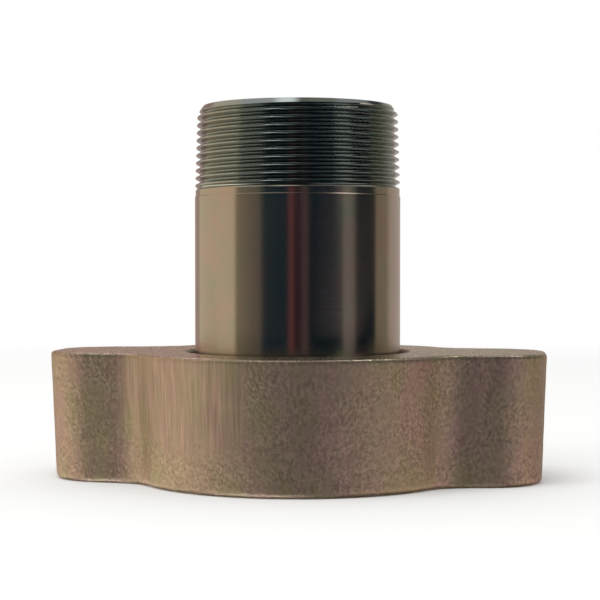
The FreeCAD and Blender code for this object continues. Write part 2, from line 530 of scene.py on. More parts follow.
@dataclass(frozen=True)
class TurnedMetal:
    """Zinc plated, chromated metal, fine turned on a lathe: the stem's bright bar, or the nut's bore,
    darkened as painted shade.

    To the eye it is a mirror that smears what it shows along the axis, across fine turning marks, with faint
    warm and cool clouds of chromate.
    """

    name: str = "bright_plated_turned_steel"
    base: str = "#b9ad9f"
    warm: str = "#bfa99f"
    cool: str = "#b1ad9a"
    cloud_size: float = 9.0
    # Real turning marks are 0.1 to 0.2 mm apart; these are coarser, so that they show
    mark_spacing: float = 0.6
    mark_depth: float = 0.002
    # The cut thread took the chromate cooler, from this height above the base, give or take the fade
    thread_tint: str = "#a3aaa7"
    thread_foot: float = 84.6
    thread_fade: float = 0.2
    roughness: float = 0.18
    # How much the turning marks change the roughness, as a share of it
    roughness_swing: float = 0.2
    # The thread's cut faces mirror more sharply than the turned ones, by this share
    thread_gloss: float = 0.5
    anisotropy: float = 0.75
    # A quarter turn, so that the smear runs along the stem and not round it
    smear_turn: float = 0.25

    def material(self) -> bpy.types.Material:
        """Builds the finish.

        Returns:
            The material.
        """
        material, tree = blank_material(self.name)
        place = add_node(tree, "TexCoord").outputs["Object"]
        clouds = add_node(
            tree, "TexNoise",
            {"Vector": place, "Scale": 1 / (self.cloud_size * MM), "Detail": 2.0, "Roughness": 0.6},
        )
        tints = zip((NOISE_LOW, NOISE_MIDDLE, NOISE_HIGH), map(srgb, (self.cool, self.base, self.warm)))
        tint = add_node(tree, "ValToRGB", {"Fac": clouds}, stops=tints)
        height = add_node(tree, "SeparateXYZ", {"Vector": place}).outputs["Z"]
        start, end = (self.thread_foot - self.thread_fade) * MM, (self.thread_foot + self.thread_fade) * MM
        on_thread = add_node(tree, "MapRange", {"Value": height, "From Min": start, "From Max": end})
        tinted = add_node(
            tree, "Mix", {"Factor": on_thread, 6: tint, 7: srgb(self.thread_tint)}, data_type="RGBA"
        )
        # Turning marks are rings, so their pattern only changes along the axis
        along = add_node(tree, "Mapping", {"Vector": place, "Scale": (0.0, 0.0, 1.0)})
        marks = add_node(
            tree, "TexNoise",
            {"Vector": along, "Scale": 1 / (self.mark_spacing * MM), "Detail": 3.0, "Roughness": 0.7},
        )
        spread = add_node(
            tree, "MapRange",
            {"Value": marks, "From Min": NOISE_LOW, "From Max": NOISE_HIGH,
             "To Min": self.roughness * (1 - self.roughness_swing),
             "To Max": self.roughness * (1 + self.roughness_swing)},
        )
        share = add_node(tree, "MapRange", {"Value": on_thread, "To Min": 1.0, "To Max": self.thread_gloss})
        dullness = add_node(tree, "Math", {0: spread, 1: share}, operation="MULTIPLY")
        bump = add_node(tree, "Bump", {"Height": marks, "Strength": 1.0, "Distance": self.mark_depth * MM})
        round_axis = add_node(tree, "Tangent", direction_type="RADIAL", axis="Z")
        shader = add_node(
            tree, "BsdfPrincipled",
            {"Base Color": tinted, "Metallic": 1.0, "Roughness": dullness, "Anisotropic": self.anisotropy,
             "Anisotropic Rotation": self.smear_turn, "Normal": bump, "Tangent": round_axis},
        )
        add_node(tree, "OutputMaterial", {"Surface": shader})
        return material


@dataclass(frozen=True)
class PlatedCasting:
    """Malleable iron, sand cast, zinc plated and yellow chromated.

    To the eye it is a dull warm metal with a fine sandy grain that glints, darker in its hollows as painted
    shade and lighter on its humps as painted glints, pink and olive clouds where the chromate took
    differently, and upright drag marks where the pattern was drawn from the sand.
    """

    tan: str = "#b8a591"
    pink: str = "#bca395"
    olive: str = "#b4a78b"
    cloud_size: float = 8.0
    # The clouds are taller than wide, as the bath drained off them
    cloud_stretch: float = 2.4
    # Noise heights at which they are olive, tan twice and pink
    cloud_steps: tuple[float, ...] = (0.36, 0.48, 0.53, 0.64)
    # Moulding sand is 0.2 to 0.4 mm across; the grain is coarser, so that it shows, and taller than wide
    grain_size: float = 0.9
    grain_stretch: float = 1.3
    grain_depth: float = 0.2
    # The colour's share in the grain's hollows, darker as painted shade, and on its humps, lighter as painted
    # glints, and the noise heights of the two
    grain_hollow_shade: float = 0.74
    grain_hump_glint: float = 1.24
    grain_heights: Span = (0.32, 0.68)
    # Least share of the grain's strength, in the patches where the sand was finer, and their noise heights
    grain_fine: float = 0.5
    fine_heights: Span = (0.38, 0.55)
    drag_strength: float = 0.7
    drag_spacing: float = 0.75
    drag_stretch: float = 28.0
    drag_depth: float = 0.06
    # Product of X and Y, in square millimetres, past which the wall was dragged smooth, and the height
    dragged_from: Span = (330.0, 560.0)
    dragged_above: Span = (9.0, 19.0)
    # How far up and down the clouds would move that height over a noise of 0 to 1
    dragged_wander: float = 30.0
    # Distance from the axis over which the drags end, so that the ears stay grained
    dragged_within: Span = (56.0, 50.0)
    metallic: float = 0.93
    roughness: float = 0.5
    # Rim of the top face, rubbed bright by handling on the humps, over this height below the top
    rubbed_height: float = 1.3
    rubbed_roughness: float = 0.2
    hump_heights: Span = (0.42, 0.52)

    def material(self, top: float) -> bpy.types.Material:
        """Builds the finish.

        Args:
            top: Height of the casting's top face, in millimetres.

        Returns:
            The material.
        """
        material, tree = blank_material("plated_sand_casting")
        place = add_node(tree, "TexCoord").outputs["Object"]
        clouds = self.pattern(tree, place, self.cloud_size, self.cloud_stretch)
        tints = zip(self.cloud_steps, map(srgb, (self.olive, self.tan, self.tan, self.pink)))
        tint = add_node(tree, "ValToRGB", {"Fac": clouds}, stops=tints)
        dragged = self.dragged(tree, place, clouds)
        grain = self.pattern(tree, place, self.grain_size, self.grain_stretch)
        drags = self.pattern(tree, place, self.drag_spacing, self.drag_stretch)
        patches = self.pattern(tree, place, self.cloud_size, detail=1.0)
        low, high = self.fine_heights
        strength = add_node(
            tree, "MapRange", {"Value": patches, "From Min": low, "From Max": high, "To Min": self.grain_fine}
        )
        strengths = add_node(tree, "Mix", {"Factor": dragged, 2: strength, 3: self.drag_strength})
        strongest = add_node(tree, "Mix", {"Factor": dragged, 2: grain, 3: drags})
        surface = add_node(tree, "Mix", {"Factor": strengths, 2: NOISE_MIDDLE, 3: strongest})
        low, high = self.grain_heights
        # Partly the grain's own tone, partly painted shade in its hollows and painted glints on its humps,
        # following the bump's noise
        shade = add_node(
            tree, "MapRange",
            {"Value": surface, "From Min": low, "From Max": high, "To Min": self.grain_hollow_shade,
             "To Max": self.grain_hump_glint},
        )
        shaded = add_node(tree, "VectorMath", {0: tint, "Scale": shade}, operation="SCALE")
        depth = add_node(
            tree, "MapRange",
            {"Value": dragged, "To Min": self.grain_depth * MM, "To Max": self.drag_depth * MM},
        )
        bump = add_node(tree, "Bump", {"Height": surface, "Strength": 1.0, "Distance": depth})
        height = add_node(tree, "SeparateXYZ", {"Vector": place}).outputs["Z"]
        rim = (top - self.rubbed_height) * MM
        near_top = add_node(tree, "MapRange", {"Value": height, "From Min": rim, "From Max": top * MM})
        low, high = self.hump_heights
        humps = add_node(tree, "MapRange", {"Value": grain, "From Min": low, "From Max": high})
        rubbed = add_node(tree, "Math", {0: near_top, 1: humps}, operation="MULTIPLY")
        dullness = add_node(
            tree, "MapRange", {"Value": rubbed, "To Min": self.roughness, "To Max": self.rubbed_roughness}
        )
        shader = add_node(
            tree, "BsdfPrincipled",
            {"Base Color": shaded, "Metallic": self.metallic, "Roughness": dullness, "Normal": bump},
        )
        add_node(tree, "OutputMaterial", {"Surface": shader})
        return material

    def pattern(
        self, tree: Tree, place: Source, size: float, stretch: float = 1.0, detail: float = 2.0
    ) -> Source:
        """Adds a noise that may be drawn out upwards.

        Args:
            tree: The material's node tree.
            place: Object coordinates.
            size: Its width, in millimetres.
            stretch: How many times taller than wide it is.
            detail: Its octaves.

        Returns:
            Its height.
        """
        drawn = add_node(tree, "Mapping", {"Vector": place, "Scale": (1.0, 1.0, 1 / stretch)})
        return add_node(
            tree, "TexNoise",
            {"Vector": drawn, "Scale": 1 / (size * MM), "Detail": detail, "Roughness": 0.55},
        )

    def dragged(self, tree: Tree, place: Source, clouds: Source) -> Source:
        """Adds the share of the wall that is dragged smooth: its upper part, left of the middle on each side.

        Args:
            tree: The material's node tree.
            place: Object coordinates.
            clouds: A noise that makes the border ragged.

        Returns:
            0 on the grain, 1 where it is smooth.
        """
        parts = add_node(tree, "SeparateXYZ", {"Vector": place}).outputs
        product = add_node(tree, "Math", {0: parts["X"], 1: parts["Y"]}, operation="MULTIPLY")
        wander = self.dragged_wander
        ragged = add_node(
            tree, "Math", {0: clouds, 1: wander * MM, 2: parts["Z"]}, operation="MULTIPLY_ADD"
        )
        flat = add_node(tree, "VectorMath", {0: place, 1: (1.0, 1.0, 0.0)}, operation="MULTIPLY")
        from_axis = add_node(tree, "VectorMath", {0: flat}, operation="LENGTH")
        share = 1.0
        for measure, (start, end) in (
            (product, [edge * MM * MM for edge in self.dragged_from]),
            (ragged, [(height + NOISE_MIDDLE * wander) * MM for height in self.dragged_above]),
            (from_axis, [distance * MM for distance in self.dragged_within]),
        ):
            within = add_node(
                tree, "MapRange", {"Value": measure, "From Min": start, "From Max": end},
                interpolation_type="SMOOTHSTEP",
            )
            share = add_node(tree, "Math", {0: share, 1: within}, operation="MULTIPLY")
        return share


@dataclass
class AdapterStem:
    """The turned stem: taper pipe thread, barrel with a shallow band, collar and convex ground seat."""

    packed: PackedPart
    finish: TurnedMetal
    node: str = "adapter_stem"
    body: str = "stem"
    slot: str = "turned_steel"
    steps: int = 240
    thread: ThreadForm = ThreadForm(
        pitch=INCH / 11.5, crest_flat=0.4, root_flat=0.2, soft_corner=0.03, root_corner=0.03
    )
    thread_taper: float = 1 / 16
    thread_relief: float = 0.7
    thread_fade: float = 1.2
    # Where the thread's first crest crosses the plane of X and Z
    first_crest: float = 106.6
    tip_bevel_width: float = 1.7
    tip_bevel_height: float = 2.5
    band_length: float = 2.4
    band_step: float = 0.2
    collar_height: float = 12.5
    collar_bevel: float = 1.0
    barrel_root_radius: float = 2.0
    barrel_root_sides: int = 8
    seat_rim_width: float = 2.0
    seat_rise: float = 5.0
    seat_sides: int = 10
    bore_bevel: float = 1.5
    edge_break: float = 0.15
    # Rings this far from their ends keep the shading of the long turned faces straight
    flat_support: float = 0.2

    def __post_init__(self) -> None:
        """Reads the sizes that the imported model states, and works out what follows."""
        reach = self.packed.reach(self.node)
        self.top = reach.z
        self.collar_radius = reach.x
        self.barrel_radius = self.packed.radius("barrel")
        self.bore_radius = self.packed.radius("flow_bore")
        self.crest_radius = self.packed.radius("pipe_thread")
        thread_start = self.top - self.packed.length("pipe_thread")
        self.thread_low = thread_start - self.thread_relief
        self.thread_foot = thread_start + self.thread_relief
        # Where the barrel ends and the band steps in
        self.band_low = thread_start - self.band_length - self.band_step
        self.band_radius = self.barrel_radius - self.band_step
        self.mouth_radius = self.bore_radius + self.bore_bevel
        small_crest = self.crest(np.array(self.top - self.tip_bevel_height))
        self.tip_radius = float(small_crest) - self.tip_bevel_width

    def build(self) -> bpy.types.Object:
        """Turns the body, cuts the thread, joins the two and dresses the piece.

        Returns:
            The stem.
        """
        stem = draw_profile("stem_turned", self.profile())
        turn(stem, self.steps)
        join(stem, self.thread_cut().model("stem_thread", self.steps))
        face_outwards()
        break_rings(self.broken_edges(), self.edge_break)
        finish_piece(stem, [self.finish.material()])
        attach(stem, self.body)
        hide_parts(self.node)
        return stem

    def crest(self, height: np.ndarray) -> np.ndarray:
        """Gives the radius over the thread's crests, with the blank's step under it.

        Args:
            height: Heights above the base, in millimetres.

        Returns:
            The radius at each.
        """
        tapered = self.crest_radius - (height - self.thread_foot) * self.thread_taper / 2
        ends = [self.thread_low, self.thread_foot]
        step = np.interp(height, ends, [self.band_radius, self.crest_radius])
        return np.where(height < self.thread_foot, step, tapered)

    def thread_cut(self) -> ThreadCut:
        """Describes the taper pipe thread on this stem."""
        bevel_slope = self.tip_bevel_width / self.tip_bevel_height
        return ThreadCut(
            form=self.thread,
            side=ThreadSide.OUTSIDE,
            low=self.thread_low,
            high=self.top,
            crest_height=self.first_crest,
            blank=self.crest,
            shallow=lambda height: np.clip((height - self.thread_low) / self.thread_fade, 0, 1),
            limit=lambda height: self.tip_radius + (self.top - height) * bevel_slope,
        )

    def profile(self) -> list[Point]:
        """Draws the turned outline from the thread's lower end down, round the seat and up the bore.

        Returns:
            Radius and height of each corner.
        """
        root, beside = self.barrel_root_radius, self.flat_support
        barrel_foot = (self.barrel_radius + root, self.collar_height + root)
        collar_shoulder = self.collar_height - self.collar_bevel
        step_top = self.band_low + self.band_step
        return [
            (self.band_radius, self.thread_low),
            (self.band_radius, self.thread_low - beside),
            (self.band_radius, step_top + beside),
            (self.band_radius, step_top),
            (self.barrel_radius, self.band_low),
            (self.barrel_radius, self.band_low - beside),
            (self.barrel_radius, self.collar_height + root + beside),
            *arc(barrel_foot, root, 180, 270, self.barrel_root_sides),
            (self.collar_radius - self.collar_bevel, self.collar_height),
            (self.collar_radius, collar_shoulder),
            *self.seat(),
            (self.mouth_radius, 0),
            (self.bore_radius, self.bore_bevel),
            (self.bore_radius, self.bore_bevel + beside),
            (self.bore_radius, self.top - self.bore_bevel - beside),
            (self.bore_radius, self.top - self.bore_bevel),
            (self.mouth_radius, self.top),
            (self.tip_radius, self.top),
        ]

    def seat(self) -> list[Point]:
        """Draws the ground seat: part of a sphere centred on the axis, from the collar to its rim.

        Returns:
            Radius and height of each corner.
        """
        rim = self.mouth_radius + self.seat_rim_width
        height = (self.collar_radius**2 + self.seat_rise**2 - rim**2) / (2 * self.seat_rise)
        angles = [
            math.degrees(math.atan2(self.seat_rise - height, self.collar_radius)),
            math.degrees(math.atan2(-height, rim)),
        ]
        return arc((0, height), math.hypot(rim, height), *angles, self.seat_sides)

    def broken_edges(self) -> list[Point]:
        """Gives radius and height of each ring that is broken; the band's step is too small for it."""
        return [
            (self.collar_radius - self.collar_bevel, self.collar_height),
            (self.collar_radius, self.collar_height - self.collar_bevel),
            (self.collar_radius, self.seat_rise),
            (self.mouth_radius, 0),
            (self.bore_radius, self.bore_bevel),
            (self.bore_radius, self.top - self.bore_bevel),
            (self.mouth_radius, self.top),
        ]


@dataclass
class WingNut:
    """The two-eared hammer nut: cast with draft, then bored and threaded."""

    packed: PackedPart
    casting: PlatedCasting
    bore: TurnedMetal
    node: str = "wing_nut"
    body: str = "nut"
    slot: str = "cast_iron"
    thread: ThreadForm = ThreadForm(
        pitch=INCH / 8, crest_flat=0.79, root_flat=0.364, soft_corner=0.1, root_corner=0.1
    )
    thread_lead_out: float = 1.0
    nut_wall: float = 8.1
    draft: float = 2.1
    ear_length: float = 23.4
    ear_tip_width: float = 34.1
    ear_side_angle: float = 8.7
    ear_root_radius: float = 13.5
    ear_corner_radius: float = 15.5
    top_edge_radius: float = 1.0
    base_edge_radius: float = 1.5
    rim_sides: int = 4
    socket_thread_depth: float = 1.75
    socket_relief_height: float = 3.2
    socket_bevel: float = 1.2
    barrel_clearance: float = 2.35
    lip_bevel: float = 0.6
    edge_break: float = 0.15
    # Sides along a quarter of the outline: half tip, corner, ear side, ear root, round
    quarter_sides: tuple[int, ...] = (5, 20, 10, 8, 50)
    wall_rows: int = 46
    top_rows: int = 14
    base_rows: int = 8
    # Sides of the flat faces longer than this lead across them and not round them
    longest_ring_side: float = 3.0
    wave_length: float = 6.0
    wave_height: float = 0.16
    # Distance from the hole's mouth at which the waves begin, and over which they grow
    calm_margin: float = 1.0
    calm_fade: float = 4.0

    def __post_init__(self) -> None:
        """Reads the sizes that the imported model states, and works out what follows."""
        self.height = self.packed.reach(self.node).z
        self.thread_radius = self.packed.radius("nut_socket_thread")
        self.thread_top = self.packed.length("nut_socket_thread")
        self.relief_radius = self.thread_radius + self.socket_thread_depth
        self.lip_underside = self.thread_top + self.socket_relief_height
        self.hole_radius = self.packed.radius("barrel") + self.barrel_clearance
        self.hole_mouth_radius = self.hole_radius + self.lip_bevel
        self.mouth_radius = self.thread_radius + self.socket_bevel
        self.round_radius = self.relief_radius + self.nut_wall
        self.steps = 4 * sum(self.quarter_sides)

    def build(self) -> bpy.types.Object:
        """Casts the nut, bores it and dresses the piece.

        Returns:
            The nut.
        """
        nut = self.cast()
        join(nut, self.bored())
        for level in (at_height(0.0), at_height(self.height)):
            pick("EDGE", lambda edge: edge.is_boundary and level(edge))
            bpy.ops.mesh.bridge_edge_loops()
        face_outwards()
        self.round_rim(self.height, self.top_edge_radius)
        self.round_rim(0.0, self.base_edge_radius)
        self.divide()
        break_rings(self.broken_edges(), self.edge_break)
        self.roughen(nut)
        finish_piece(nut, [self.casting.material(self.height), self.bore.material()])
        self.mark_machined(nut)
        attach(nut, self.body)
        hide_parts(self.node)
        return nut

    def outline(self, rise: float) -> list[Point]:
        """Gives a quarter of the outline, from the middle of the right ear's tip to the front of the round.

        Args:
            rise: Height above the base, in millimetres, which the draft leans the outline out by.

        Returns:
            X and Y of each corner.
        """
        lean = rise * math.tan(math.radians(self.draft))
        angle = math.radians(self.ear_side_angle)
        reach = self.round_radius + self.ear_length + lean
        tip_half = self.ear_tip_width / 2 + lean * (1 - math.sin(angle)) / math.cos(angle)
        round_radius = self.round_radius + lean
        along = Vector((math.cos(angle), math.sin(angle)))
        across = Vector((along.y, -along.x))

        corner = self.ear_corner_radius
        drop = corner / math.tan((math.pi / 2 + angle) / 2)
        corner_centre = Vector((reach - corner, drop - tip_half))
        side_distance = across.dot(Vector((reach, -tip_half)))

        root = self.ear_root_radius
        out = side_distance + root
        root_centre = across * out + along * math.sqrt((round_radius + root) ** 2 - out**2)
        root_foot = root_centre - across * root
        side_start = corner_centre + across * corner
        round_start = math.degrees(math.atan2(root_centre.y, root_centre.x))

        tip, turned_corner, side, turned_root, turned_round = self.quarter_sides
        side_angle = self.ear_side_angle
        stretches = [
            straight(Vector((reach, 0)), Vector((reach, corner_centre.y)), tip),
            arc(tuple(corner_centre), corner, 0, side_angle - 90, turned_corner),
            straight(side_start, root_foot, side),
            arc(tuple(root_centre), root, 90 + side_angle, 180 + round_start, turned_root),
            arc((0, 0), round_radius, round_start, -90, turned_round),
        ]
        return [stretches[0][0]] + [corner for stretch in stretches for corner in stretch[1:]]

    def cast(self) -> bpy.types.Object:
        """Draws the outline at the base and at the top, mirrors both and joins them with the drafted wall.

        Returns:
            The wall, open at both ends and in edit mode.
        """
        rings = []
        for name, height in (("wing_nut_cast", 0.0), ("nut_top_ring", self.height)):
            ring = draw_line(name, [Vector((x, y, height)) for x, y in self.outline(height)])
            bpy.ops.object.mode_set(mode="OBJECT")
            apply_modifier(
                ring, "MIRROR", use_axis=(True, True, False), use_mirror_merge=True, merge_threshold=NEAR * MM
            )
            rings.append(ring)
        join(*rings)
        bpy.ops.mesh.select_all(action="SELECT")
        bpy.ops.mesh.bridge_edge_loops()
        return rings[0]

    def bored(self) -> bpy.types.Object:
        """Turns the lip's hole and the relief under it, and cuts the socket's thread.

        Returns:
            The inside of the nut, open at both ends and in edit mode.
        """
        bore = draw_profile(
            "nut_bore",
            [
                (self.hole_mouth_radius, self.height),
                (self.hole_radius, self.height - self.lip_bevel),
                (self.hole_radius, self.lip_underside),
                (self.relief_radius, self.lip_underside),
                (self.relief_radius, self.thread_top),
            ],
        )
        turn(bore, self.steps)
        join(bore, self.thread_cut().model("nut_thread", self.steps))
        return bore

    def thread_cut(self) -> ThreadCut:
        """Describes the straight thread in the socket, whose mouth is bevelled at 45 degrees."""
        lead_out = [self.thread_top - self.thread_lead_out, self.thread_top]
        return ThreadCut(
            form=self.thread,
            side=ThreadSide.INSIDE,
            low=0.0,
            high=self.thread_top,
            crest_height=0.0,
            blank=lambda height: np.interp(height, lead_out, [self.thread_radius, self.relief_radius]),
            shallow=lambda height: np.interp(height, lead_out, [1.0, 0.0]),
            limit=lambda height: self.mouth_radius - height,
        )

    def round_rim(self, height: float, radius: float) -> None:
        """Rounds the casting's outer edge at the base or the top, as its pattern was.

        Args:
            height: The edge's height, in millimetres.
            radius: How far the rounding reaches on each side.
        """
        level = at_height(height)
        nearest = self.round_radius - NEAR
        pick("EDGE", lambda edge: level(edge) and all(end.co.xy.length / MM > nearest for end in edge.verts))
        bpy.ops.mesh.bevel(offset=radius * MM, segments=self.rim_sides, affect="EDGES")

    def divide(self) -> None:
        """Divides the wall and the flat faces into rows fine enough for the cast surface's waves."""
        pick("EDGE", lambda edge: abs(edge.verts[0].co.z - edge.verts[1].co.z) > self.height / 2 * MM)
        bpy.ops.mesh.subdivide(number_cuts=self.wall_rows - 1)
        for level, rows in ((at_height(self.height), self.top_rows), (at_height(0.0), self.base_rows)):
            pick("EDGE", lambda edge: edge.calc_length() > self.longest_ring_side * MM and level(edge))
            bpy.ops.mesh.subdivide(number_cuts=rows - 1)

    def broken_edges(self) -> list[Point]:
        """Gives radius and height of each machined ring whose edge is broken."""
        return [
            (self.hole_mouth_radius, self.height),
            (self.hole_radius, self.height - self.lip_bevel),
            (self.hole_radius, self.lip_underside),
        ]

    def roughen(self, nut: bpy.types.Object) -> None:
        """Gives the cast skin the shallow waves of its sand mould, none on the base or round the bore.

        Args:
            nut: The piece.
        """
        work_on(nut)
        group = nut.vertex_groups.new(name="cast_skin")
        for vertex in nut.data.vertices:
            radius, height = vertex.co.xy.length / MM, vertex.co.z / MM
            from_hole = radius - self.hole_mouth_radius
            on_skin = from_hole > NEAR and (
                height > self.height - NEAR or radius > self.round_radius - self.base_edge_radius - NEAR
            )
            weight = min(height / (2 * self.base_edge_radius), 1) if on_skin else 0
            if height > self.lip_underside:
                weight *= min(max((from_hole - self.calm_margin) / self.calm_fade, 0), 1)
            if weight > 0:
                group.add([vertex.index], weight, "REPLACE")
        waves = bpy.data.textures.new("sand_mould_waves", "CLOUDS")
        waves.noise_scale = self.wave_length * MM
        waves.noise_depth = 2
        apply_modifier(
            nut, "DISPLACE", texture=waves, texture_coords="LOCAL", direction="NORMAL", mid_level=0.5,
            strength=self.wave_height * MM, vertex_group=group.name,
        )
        nut.vertex_groups.clear()

    def mark_machined(self, nut: bpy.types.Object) -> None:
        """Gives the faces of the bore and the socket their own finish, whose dark colour is painted shade
        inside the nut.

        Args:
            nut: The piece, with its materials in the order of the surfaces.
        """
        for face in nut.data.polygons:
            radius = face.center.xy.length / MM
            inside = radius < self.hole_mouth_radius or (
                radius < self.relief_radius + NEAR and NEAR < face.center.z / MM < self.lip_underside + NEAR
            )
            face.material_index = (Surface.MACHINED if inside else Surface.CAST).value


@dataclass(frozen=True)
class Screen:
    """One upright screen of the room, between two angles to the right of the camera, in degrees."""

    start: float
    end: float
    colour: str
    level: float = 1.0

    def light(self) -> Colour:
        """Gives its linear colour at its level."""
        return (*(share * self.level for share in srgb(self.colour)[:3]), 1.0)


@dataclass(frozen=True)
class MirroredBox:
    """One round light that the metal mirrors.

    Its way leads towards the camera, to the right and up; its core and edge are chords on the unit sphere.
    """

    way: Place
    level: float
    core: float
    edge: float


@dataclass(frozen=True)
class Lamp:
    """One soft box that lights the table, with its place and diameter in metres and its power in watts."""

    name: str
    place: Place
    power: float
    diameter: float


@dataclass
class Studio:
    """White table and soft light round the part, and the camera at the photograph's angle."""

    # Azimuth at which the camera stands, seen from the stem's axis, and how far it looks past the axis;
    # distances of the studio are in metres
    camera_azimuth: float = 276.55
    camera_aside: float = 0.082
    camera_distance: float = 0.48395
    camera_height: float = 0.06212
    camera_pitch: float = -1.169
    focal_length: float = 98.57
    sensor_width: float = 36.0
    floor_side: float = 6.0
    floor_colour: str = "#f8f8f7"
    floor_roughness: float = 0.9
    # Distance over which the table turns into the plain white background
    white_from: float = 0.45
    white_to: float = 0.9
    diffuse_level: float = 0.8
    # Middle of the part, which the lamps point at
    lamp_aim: Place = (0.0, 0.0, 0.03)
    # Angles above the horizon over which each tier above the barrel's walls begins, then each below them
    thread_from: Span = (5.0, 6.4)
    upper_from: Span = (22.0, 34.0)
    ceiling_from: Span = (50.0, 62.0)
    ceiling_colour: str = "#92948a"
    zenith_from: Span = (72.0, 80.0)
    zenith_colour: str = "#1c2022"
    table_from: Span = (-10.0, -18.0)
    under_from: Span = (-28.0, -38.0)
    under_colour: str = "#262422"

    def build(self) -> None:
        """Sets up camera, world, floor, lamps and what the metal reflects."""
        self.add_camera()
        self.light_world()
        self.add_floor()
        self.add_lamps()

    def add_camera(self) -> None:
        """Places the camera, in sharp focus throughout."""
        clear_selection()
        azimuth = math.radians(self.camera_azimuth)
        # An unturned camera looks along Y, which is from azimuth 270
        heading = self.camera_azimuth - 270 - self.camera_aside
        bpy.ops.object.camera_add(
            location=(
                self.camera_distance * math.cos(azimuth),
                self.camera_distance * math.sin(azimuth),
                self.camera_height,
            ),
            rotation=(math.radians(90 + self.camera_pitch), 0, math.radians(heading)),
        )
        camera = bpy.context.object
        camera.name = "photo_camera"
        camera.data.lens = self.focal_length
        camera.data.sensor_width = self.sensor_width
        camera.data.dof.use_dof = False
        bpy.context.scene.camera = camera

    def light_world(self) -> None:
        """Makes the world white where it is seen, a soft fill where it lights and the room where mirrored."""
        world = bpy.data.worlds.new("white_room")
        bpy.context.scene.world = world
        world.use_nodes = True
        # Only rays that leave a surface ask for it, because what it gives depends on the kind of ray
        world.cycles.sampling_method = "NONE"
        tree = world.node_tree
        tree.nodes.clear()
        ray = add_node(tree, "LightPath").outputs
        seen = add_node(
            tree, "Math", {0: ray["Is Camera Ray"], 1: ray["Is Transmission Ray"]}, operation="MAXIMUM"
        )
        strength = add_node(tree, "MapRange", {"Value": seen, "To Min": self.diffuse_level, "To Max": 1.0})
        plain = add_node(tree, "Background", {"Color": grey(1.0), "Strength": strength})
        room = add_node(tree, "Background", {"Color": self.mirrored_room(tree)})
        light = add_node(tree, "MixShader", {0: ray["Is Glossy Ray"], 1: plain, 2: room})
        add_node(tree, "OutputWorld", {"Surface": light})

    def add_floor(self) -> None:
        """Lays the pale table, which turns into the plain white background away from the part."""
        clear_selection()
        bpy.ops.mesh.primitive_plane_add(size=self.floor_side)
        floor = bpy.context.object
        floor.name = "table"
        floor.visible_glossy = False
        floor.data.materials.append(self.table_material())

    def table_material(self) -> bpy.types.Material:
        """Builds the table's matt white laminate: soft and even, so that it only shows the part's shadow.

        Returns:
            The material.
        """
        material, tree = blank_material("white_laminate_table")
        place = add_node(tree, "TexCoord").outputs["Object"]
        distance = add_node(tree, "VectorMath", {0: place}, operation="LENGTH")
        away = add_node(
            tree, "MapRange", {"Value": distance, "From Min": self.white_from, "From Max": self.white_to},
            interpolation_type="SMOOTHSTEP",
        )
        matt = add_node(
            tree, "BsdfPrincipled",
            {"Base Color": srgb(self.floor_colour), "Roughness": self.floor_roughness,
             "Specular IOR Level": 0.0},
        )
        white = add_node(tree, "Emission", {"Color": grey(1.0), "Strength": 1.0})
        surface = add_node(tree, "MixShader", {0: away, 1: matt, 2: white})
        add_node(tree, "OutputMaterial", {"Surface": surface})
        return material

    def add_lamps(self) -> None:
        """Hangs the soft boxes that light the table; the metal shows the room and not the boxes."""
        for box in self.lamps():
            clear_selection()
            aim = (Vector(self.lamp_aim) - Vector(box.place)).to_track_quat("-Z", "Y").to_euler()
            bpy.ops.object.light_add(type="AREA", location=box.place, rotation=aim)
            lamp = bpy.context.object
            lamp.name = box.name
            lamp.data.energy = box.power
            lamp.data.shape = "DISK"
            lamp.data.size = box.diameter
            lamp.visible_glossy = False

    def lamps(self) -> list[Lamp]:
        """Gives the two soft boxes."""
        return [
            Lamp("soft_box_above", place=(-0.3, -0.5, 1.6), power=9.0, diameter=1.2),
            Lamp("soft_box_left", place=(-1.4, -0.9, 0.9), power=3.5, diameter=0.9),
        ]

    def walls(self) -> list[Screen]:
        """Gives the screens at eye level, which the barrel mirrors as upright bands."""
        cream, umber, navy, grey_cloth = "#dcd1bb", "#827a6d", "#1d3040", "#777674"
        return [
            Screen(-176, -146, "#b09c92"),
            Screen(-140, -75, cream),
            Screen(-71, -62, umber),
            Screen(-50, -44, "#6b655e"),
            Screen(-37, -12, navy),
            Screen(-7.5, -6, "#7c4a4e"),
            Screen(-3, 2, "#3a2230"),
            Screen(6.5, 9.5, "#5e4b50"),
            Screen(14, 49, "#101e2b"),
            Screen(53, 63, grey_cloth),
            Screen(70, 94, "#101f2a"),
            Screen(98, 116, "#90867b"),
            Screen(126, 176, "#beb2ab"),
        ]

    def thread_walls(self) -> list[Screen]:
        """Gives the screens just above eye level, which only the thread mirrors.

        It stands higher than the camera and leans back with its taper.
        """
        return [
            Screen(-176, -146, "#ac8e87"),
            Screen(-132, -92, "#e2c3a6"),
            Screen(-84, -74, "#d2bb9a"),
            Screen(-67, -44, "#6f776d"),
            Screen(-38, -14, "#1f3433"),
            Screen(-8, 10, "#3c474a"),
            Screen(18, 41, "#1a3442"),
            Screen(46, 59, "#8b968c"),
            Screen(66, 84, "#0e2a33"),
            Screen(94, 104, "#5d6455"),
            Screen(112, 130, "#8f8c72"),
            Screen(142, 176, "#b5aca0"),
        ]

    def upper_walls(self) -> list[Screen]:
        """Gives what hangs above the screens, which crests and grain mirror: dark but for its left side."""
        return [
            Screen(-176, -155, "#8a7f78"),
            Screen(-140, -75, "#ded2be"),
            Screen(-46, 30, "#1c3036"),
            Screen(60, 112, "#4c5a5e"),
            Screen(140, 176, "#4a4643"),
        ]

